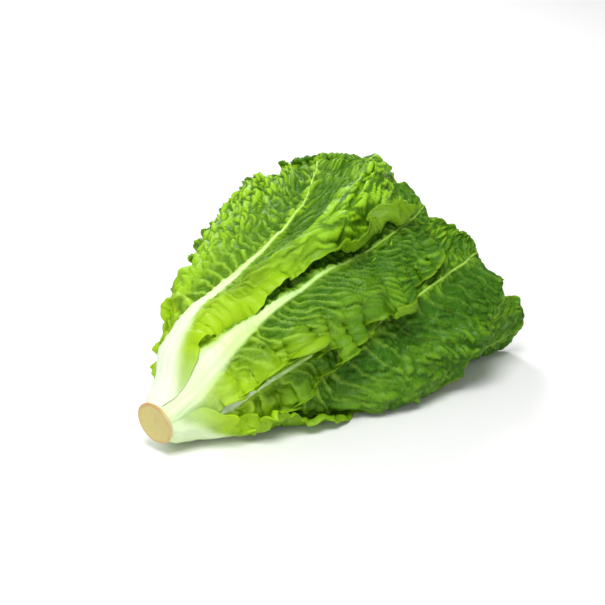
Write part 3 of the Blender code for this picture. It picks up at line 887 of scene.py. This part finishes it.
BUMP_DISTANCE = 0.0004
LEAF_SHEEN = 0.24
# What a blade carries, each as an attribute of the same name in small letters.
MASKS = ("Rib", "Vein", "Pucker", "Along", "Inset", "Span", "Reach", "Tone", "Hollow", "Turned", "Furrow")
COLOURS = ("Rib Colour", "Young Colour", "Blade Colour", "Deep And Shade Colour", "Vein Colour")


def leaf_colour_group():
    """Colour, roughness and fine relief of a leaf from the masks it carries."""
    if "Romaine Blade" in bpy.data.node_groups:
        return bpy.data.node_groups["Romaine Blade"]
    group = bpy.data.node_groups.new("Romaine Blade", "ShaderNodeTree")
    add_sockets(group, "INPUT", "Float", {**dict.fromkeys(MASKS, 0.0), "Tone": 1.0})
    add_sockets(group, "INPUT", "Color", dict.fromkeys(COLOURS))
    add_sockets(group, "OUTPUT", "Color", {"Color": None, "Glow": None})
    add_sockets(group, "OUTPUT", "Float", {"Roughness": None, "Height": None, "Thin": None})
    t = Tree(group)
    given = t.outputs("NodeGroupInput")
    rib, vein, pucker, along, inset, span, reach, tone, hollow, turned, furrow = (given[m] for m in MASKS)
    rib_colour, young, blade, deep_and_shade, vein_colour = (given[name] for name in COLOURS)
    here = t.vector(reach, span, tone)
    mottle, net = t.noise(here, 55.0, 3.0), t.cells(here, 330.0)

    # Pale and yellow near the root, green up in the blade.
    age = (mottle - 0.5) * 0.3 + along
    grown = t.least(t.ramp(age, 0.1, 0.52) * tone, 1.0)
    body = t.colour(grown, young, blade)
    # Darker, towards the deep colour: by the tone, partly the leaf's own deeper green and partly painted
    # shade;
    # painted shade between the puckers further up the blade, in the hollows beside the midrib and in the
    # furrows;
    # and in random patches of its own colour.
    for share in (
        t.ramp(tone, 0.85, 1.35, 0.0, 0.85, "LINEAR") * grown,
        t.ramp(age, 0.3, 0.75) * (1.0 - t.ramp(pucker, 0.05, 0.6)) * 0.9,
        hollow * 0.75,
        furrow * 0.6,
        t.ramp(mottle, 0.42, 0.68) * t.ramp(tone, 0.7, 1.1, 0.12, 0.4),
    ):
        body = t.colour(share, body, deep_and_shade)
    # Lighter on the side veins and on the fine net between them.
    for share in (
        vein * t.ramp(along, 0.2, 0.8, 0.5, 0.15) * t.ramp(abs(span), 0.004, 0.035, 1.0, 0.4),
        t.ramp(net, 0.0, 0.1, 1.0, 0.0) * 0.1,
    ):
        body = t.colour(share, body, vein_colour)
    # Young along the margins, most of all near the root; and where a margin is turned back it is mixed
    # towards the young colour as painted light shining through it.
    edge = t.ramp(inset, 0.0, 0.0022, 1.0, 0.0) * 0.4
    ruff = t.ramp(inset, 0.001, 0.017, 1.0, 0.0) * t.ramp(along, 0.3, 0.62, 0.65, 0.0)
    ruff = ruff * t.ramp(tone, 0.75, 1.15, 1.0, 0.45, "LINEAR")
    body = t.colour(t.most(edge, ruff, turned * 0.25), body, young)
    # The midrib greens towards the tip and on the leaves of higher tone, which is partly their own deeper
    # green and partly painted shade, and fades into their blades.
    greener = t.most(
        t.ramp(tone, 0.9, 1.2, 0.0, 0.6) * t.ramp(along, 0.1, 0.22),
        t.ramp(along, 0.12, 0.75),
        t.ramp(tone, 0.95, 1.2, 0.0, 0.3),
    )
    pale = t.colour(greener, rib_colour, vein_colour)
    faded = t.ramp(tone, 0.95, 1.3, 0.0, 0.6) * t.ramp(along, 0.3, 0.7)
    whole = t.colour(rib * (1.0 - faded), body, pale)
    whole = t.colour((1.0 - t.ramp(along, 0.02, 0.16)) * 0.7, whole, pale)

    made = {
        "Color": whole,
        "Glow": t.colour(0.55, whole, young),
        "Roughness": mottle * 0.12 + t.ramp(rib, 0.0, 1.0, 0.38, 0.32),
        "Height": (1.0 - rib) * t.ramp(net, 0.0, 0.35),
        "Thin": 1.0 - t.ramp(rib, 0.0, 0.8),
    }
    t.node("NodeGroupOutput", made)
    return group


def attribute(t, name):
    return t.outputs("ShaderNodeAttribute", attribute_name=name, attribute_type="GEOMETRY")["Fac"]


def opaque(colour):
    return (*colour, 1.0)


def leaf_material(name, colours, translucency):
    """Waxy green leaf: the blade lets some light through and the midrib does not."""
    made = bpy.data.materials.new(name)
    made.use_nodes = True
    made.node_tree.nodes.clear()
    t = Tree(made.node_tree)
    inputs = {label: attribute(t, label.lower()) for label in MASKS}
    inputs |= {label: opaque(colour) for label, colour in zip(COLOURS, colours)}
    leaf = t.outputs("ShaderNodeGroup", inputs, node_tree=leaf_colour_group())
    normal = t.bump(leaf["Height"], 0.5)
    surface = {"Base Color": leaf["Color"], "Roughness": leaf["Roughness"], "Normal": normal}
    shader = t.first("ShaderNodeBsdfPrincipled", {"Specular IOR Level": LEAF_SHEEN, **surface})
    through = t.first("ShaderNodeBsdfTranslucent", {"Color": leaf["Glow"], "Normal": normal})
    both = t.first("ShaderNodeMixShader", {0: leaf["Thin"] * translucency, 1: shader, 2: through})
    t.node("ShaderNodeOutputMaterial", {"Surface": both})
    return made


def plain_material(name):
    """(material, tree, feed): a new material, its tree, and a way to feed its one shader."""
    made = bpy.data.materials.new(name)
    made.use_nodes = True
    t = Tree(made.node_tree)
    sockets = made.node_tree.nodes["Principled BSDF"].inputs

    def feed(values):
        for key, value in values.items():
            t.feed(sockets[key], value)

    return made, t, feed


def stem_material(cut, ring, flesh):
    """Grained cream cut face with a tan rim, pale flesh behind it."""
    made, t, feed = plain_material("stem")
    here = t.outputs("ShaderNodeTexCoord")["Object"]
    grain, blotch = t.noise(here, 260.0, 4.0), t.noise(here, 90.0)
    base = t.colour(attribute(t, "face"), opaque(flesh), opaque(cut))
    rim = attribute(t, "rim") * t.ramp(blotch, 0.3, 0.7, 0.55, 1.0)
    for share in (rim, t.ramp(grain, 0.5, 0.8) * 0.35):
        base = t.colour(share, base, opaque(ring))
    feed({"Base Color": base, "Roughness": t.ramp(grain, 0.2, 0.8, 0.38, 0.6), "Normal": t.bump(grain, 0.6)})
    return made


# ----------------------------------------
# The stem.

STEM_SIDES, FACE_RINGS, ROLL_RINGS, TAPER_RINGS = 160, 26, 8, 21
CUT_HOLLOW, RIM_ROUND = 0.0012, 0.001
ROLL_LENGTH, ROLL_DEPTH = 0.0018, 0.0022


def stem_profile():
    """(s, radius, share of the cut face, share of the rim) of each ring, from the cut's middle inwards."""
    rings = []
    for k in range(1, FACE_RINGS):
        r = k / (FACE_RINGS - 1)
        on_rim = smooth((r - 0.9) / 0.1)
        rings.append((CUT_HOLLOW * (1.0 - r**2), r * (BUTT_RADIUS - RIM_ROUND), 1.0, on_rim))
    turns = [(k / ROLL_RINGS, math.pi / 2 * k / ROLL_RINGS) for k in range(1, ROLL_RINGS + 1)]
    for part, angle in turns:
        radius = BUTT_RADIUS - RIM_ROUND + RIM_ROUND * math.sin(angle)
        rings.append((RIM_ROUND - RIM_ROUND * math.cos(angle), radius, 1.0 - part, 1.0))
    for part, angle in turns:
        radius = BUTT_RADIUS - ROLL_DEPTH * (1 - math.cos(angle))
        rings.append((RIM_ROUND + ROLL_LENGTH * math.sin(angle), radius, 0.0, 1.0 - part))
    for k in range(TAPER_RINGS + 1):
        s = mix(RING_DEPTH, STEM_LENGTH, (k / TAPER_RINGS) ** 1.3)
        rings.append((s, stem_radius(s), 0.0, 0.0))
    return rings


def stem_object(settings):
    """The cut stem: a hollowed, slightly uneven face with a rolled rim, and the taper inside the head."""
    rings = stem_profile()
    turn = np.linspace(0.0, 360.0, STEM_SIDES, endpoint=False)
    wobble = 1.0 + 0.02 * noise_line(turn / 360.0 * 9.0, 5) * np.sin(np.radians(turn / 2)) ** 2
    points = [place(np.full(STEM_SIDES, s), turn, radius * wobble) for s, radius, _, _ in rings]
    points += [place(np.array([s]), np.zeros(1), np.zeros(1)) for s in (CUT_HOLLOW, STEM_LENGTH + STEM_END)]
    points = np.concatenate(points)
    faces = []
    sides = [(k, (k + 1) % STEM_SIDES) for k in range(STEM_SIDES)]
    for low in range(0, (len(rings) - 1) * STEM_SIDES, STEM_SIDES):
        high = low + STEM_SIDES
        faces += [[low + n, low + k, high + k, high + n] for k, n in sides]
    for k, n in sides:
        faces += [[k, n, len(points) - 2], [high + n, high + k, len(points) - 1]]
    _, _, face, rim = np.repeat(rings, STEM_SIDES, axis=0).T
    facts = {"rim": np.append(rim, [0.0, 0.0]), "face": np.append(face, [1.0, 0.0])}
    obj = mesh_object("cut_stem", points, faces, facts)
    obj.data.materials.append(stem_material(settings.cut_colour, settings.ring_colour, settings.flesh_colour))
    return obj


# ----------------------------------------
# Settings that a user would change.


def colour_property(name, description, value):
    return FloatVectorProperty(
        name=name, description=description, default=value, size=3, min=0.0, max=1.0, subtype="COLOR"
    )


def length_property(name, description, value, low, high):
    return FloatProperty(name=name, description=description, default=value, min=low, max=high, unit="LENGTH")


def power_property(name, description, value):
    return FloatProperty(name=name, description=description, default=value, min=0.0, unit="POWER")


def angle_property(name, description, degrees):
    return FloatProperty(name=name, description=description, default=math.radians(degrees), subtype="ANGLE")


class RomaineLeafSettings(PropertyGroup):
    """Sizes of what the leaves carry."""

    vein_spacing: length_property(
        "Vein spacing", "Between side veins, along the midrib", VEIN_SPACING, 0.003, 0.03
    )
    vein_height: length_property("Vein height", "Of the side veins above the blade", 0.0007, 0.0, 0.003)
    pucker_size: length_property("Pucker size", "Across one blister of the blade", 0.0044, 0.002, 0.02)
    pucker_height: length_property("Pucker height", "Of the blisters between the veins", 0.003, 0.0, 0.004)


class RomaineColours(PropertyGroup):
    """Colours of the head."""

    rib_colour: colour_property("Rib", "Of the thick white midribs", (0.72, 0.82, 0.6))
    young_colour: colour_property("Young blade", "Near the root and along the margins", (0.48, 0.74, 0.01))
    blade_colour: colour_property("Blade", "Of the grown outer blade", (0.38, 0.74, 0.02))
    # Painted shade: this colour darkens the creases, hollows and furrows of the blades, and also gives the
    # leaves of higher tone their deeper green.
    deep_and_shade_colour: colour_property("Deep blade and shade", "In the creases of the blade", (0.035, 0.16, 0.002))
    vein_colour: colour_property("Veins", "Of the side veins", (0.48, 0.76, 0.09))
    heart_colour: colour_property("Heart blade", "Of the inner leaves", (0.38, 0.6, 0.06))
    cut_colour: colour_property("Cut", "Of the cut face", (0.56, 0.48, 0.16))
    ring_colour: colour_property("Cut ring", "Round the cut and in its scars", (0.52, 0.3, 0.1))
    flesh_colour: colour_property("Flesh", "Of the stem behind the cut", (0.8, 0.84, 0.52))


class RomaineStage(PropertyGroup):
    """Floor, light and camera."""

    floor_colour: colour_property("Floor", "Of the plain floor", (0.86, 0.86, 0.86))
    key_power: power_property("Key light", "Power of the large soft light", 17.0)
    fill_power: power_property("Fill light", "Power of the light beside the camera", 3.5)
    camera_distance: length_property("Camera distance", "From the camera to the cut", 1.2, 0.3, 10.0)
    azimuth: angle_property("Azimuth", "Of the camera round the head", 50)
    elevation: angle_property("Elevation", "Of the camera above the floor", 23.5)


# ----------------------------------------
# Operators.


def dress_leaf(rank, material):
    """Make one leaf and stand it in for its node."""
    name, leaf, look = all_leaves()[rank]
    outer, inner, normal, facts = leaf_points(leaf, look, rank, pressed_head()[rank])
    obj = sheet_object(name.replace("leaf", "blade"), outer, inner, normal, facts)
    sizes = bpy.context.scene.romaine_leaves
    values = {
        "Vein Spacing": sizes.vein_spacing * look.vein / VEIN_SPACING,
        "Left Slant": look.slants[0],
        "Right Slant": look.slants[1],
        "Vein Height": sizes.vein_height,
        "Pucker Size": sizes.pucker_size,
        "Pucker Height": sizes.pucker_height * look.pucker,
        "Seed": float(leaf.seed),
        "Material": material,
    }
    relieved(obj, values)
    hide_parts(name)
    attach(obj, "root")
    return obj


class ROMAINE_OT_stem(Operator):
    """Add the cut stem"""

    bl_idname = "romaine.stem"
    bl_label = "Stem"

    def execute(self, context):
        obj = stem_object(context.scene.romaine_colours)
        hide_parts("stem")
        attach(obj, "root")
        return {"FINISHED"}


def dress_leaves(context, material_name, blade, deep_and_shade, translucency, ranks):
    """Make a leaf material in its two blade colours, and the leaves that wear it."""
    c = context.scene.romaine_colours
    colours = (c.rib_colour, c.young_colour, getattr(c, blade), getattr(c, deep_and_shade), c.vein_colour)
    material = leaf_material(material_name, colours, translucency)
    for rank in ranks:
        dress_leaf(rank, material)
    return {"FINISHED"}


class ROMAINE_OT_outer_leaves(Operator):
    """Add the large outer leaves"""

    bl_idname = "romaine.outer_leaves"
    bl_label = "Outer Leaves"

    def execute(self, context):
        ranks = range(len(OUTER_LEAVES))
        return dress_leaves(context, "outer_leaf", "blade_colour", "deep_and_shade_colour", 0.3, ranks)


class ROMAINE_OT_heart_leaves(Operator):
    """Add the paler leaves of the heart"""

    bl_idname = "romaine.heart_leaves"
    bl_label = "Heart Leaves"

    def execute(self, context):
        ranks = range(len(OUTER_LEAVES), len(all_leaves()))
        return dress_leaves(context, "heart_leaf", "heart_colour", "blade_colour", 0.35, ranks)


FLOOR_HALF, FLOOR_DROP = 4, 0.0002
WORLD_STRENGTH = 0.36
LIT_POINT = (0.0, 0.0, 0.05)
RIM_SHARE = 0.65
# How far to the right of the cut, and above it, the camera aims.
AIM_RIGHT, AIM_UP = 0.0928, 0.0759
SENSOR, LENS_PER_METRE = 36.0, 95.2


def soft_light(name, at, size, power):
    light = bpy.data.lights.new(name, "AREA")
    light.energy, light.shape, light.size = power, "DISK", size
    obj = linked_object(name, light)
    obj.location = at
    obj.rotation_euler = (Vector(LIT_POINT) - Vector(at)).to_track_quat("-Z", "Y").to_euler()


class ROMAINE_OT_stage(Operator):
    """Add the floor, the lights and the camera"""

    bl_idname = "romaine.stage"
    bl_label = "Stage"

    def execute(self, context):
        stage = context.scene.romaine_stage
        corners = [(x * FLOOR_HALF, y * FLOOR_HALF, 0) for x, y in ((-1, -1), (1, -1), (1, 1), (-1, 1))]
        mesh = bpy.data.meshes.new("floor")
        mesh.from_pydata(corners, [], [(0, 1, 2, 3)])
        mesh.transform(Matrix.Translation((0, 0, -FLOOR_DROP)))
        finish, _, feed = plain_material("floor")
        feed({"Base Color": opaque(stage.floor_colour), "Roughness": 0.9, "Specular IOR Level": 0.1})
        mesh.materials.append(finish)
        floor = linked_object("floor", mesh)

        world = bpy.data.worlds.new("studio")
        context.scene.world = world
        world.use_nodes = True
        background = world.node_tree.nodes["Background"]
        background.inputs["Color"].default_value = (1.0, 1.0, 1.0, 1.0)
        background.inputs["Strength"].default_value = WORLD_STRENGTH
        soft_light("key", (-0.55, -0.35, 1.25), 0.7, stage.key_power)
        soft_light("fill", (-1.1, -0.9, 0.45), 0.8, stage.fill_power)
        soft_light("rim", (0.6, 0.9, 0.9), 0.6, stage.key_power * RIM_SHARE)

        a, e, d = stage.azimuth, stage.elevation, stage.camera_distance
        right = Vector((math.cos(a), -math.sin(a), 0.0))
        ahead = Vector((math.sin(a) * math.cos(e), math.cos(a) * math.cos(e), -math.sin(e)))
        up = right.cross(ahead)
        aim = Vector(butt_place()) + right * AIM_RIGHT + up * AIM_UP
        camera = linked_object("camera", bpy.data.cameras.new("camera"))
        camera.data.sensor_width = SENSOR
        camera.data.lens = LENS_PER_METRE * d
        camera.data.clip_start = 0.01
        turned = Matrix((right, up, -ahead)).transposed().to_4x4()
        camera.matrix_world = Matrix.Translation(aim - ahead * d) @ turned
        context.scene.camera = camera
        context.scene.view_settings.view_transform = "Standard"
        return {"FINISHED"}


class ROMAINE_PT_panel(Panel):
    """Lists the head's settings and the steps that make it"""

    bl_label = "Romaine Head"
    bl_idname = "ROMAINE_PT_panel"
    bl_space_type = "VIEW_3D"
    bl_region_type = "UI"
    bl_category = "Romaine"

    def draw(self, context):
        scene = context.scene
        for group in (scene.romaine_leaves, scene.romaine_colours, scene.romaine_stage):
            box = self.layout.box()
            for key in group.__annotations__:
                box.prop(group, key)
        for operator in OPERATORS:
            self.layout.operator(operator.bl_idname)


GROUPS = (
    ("romaine_leaves", RomaineLeafSettings),
    ("romaine_colours", RomaineColours),
    ("romaine_stage", RomaineStage),
)
OPERATORS = (ROMAINE_OT_stem, ROMAINE_OT_outer_leaves, ROMAINE_OT_heart_leaves, ROMAINE_OT_stage)


def register():
    for name, group in GROUPS:
        bpy.utils.register_class(group)
        setattr(bpy.types.Scene, name, PointerProperty(type=group))
    for item in (*OPERATORS, ROMAINE_PT_panel):
        bpy.utils.register_class(item)


def unregister():
    for item in (ROMAINE_PT_panel, *reversed(OPERATORS)):
        bpy.utils.unregister_class(item)
    for name, group in reversed(GROUPS):
        delattr(bpy.types.Scene, name)
        bpy.utils.unregister_class(group)


def main():
    register()
    bpy.ops.romaine.stem()
    bpy.ops.romaine.outer_leaves()
    bpy.ops.romaine.heart_leaves()
    bpy.ops.romaine.stage()


if __name__ == "__main__":
    main()
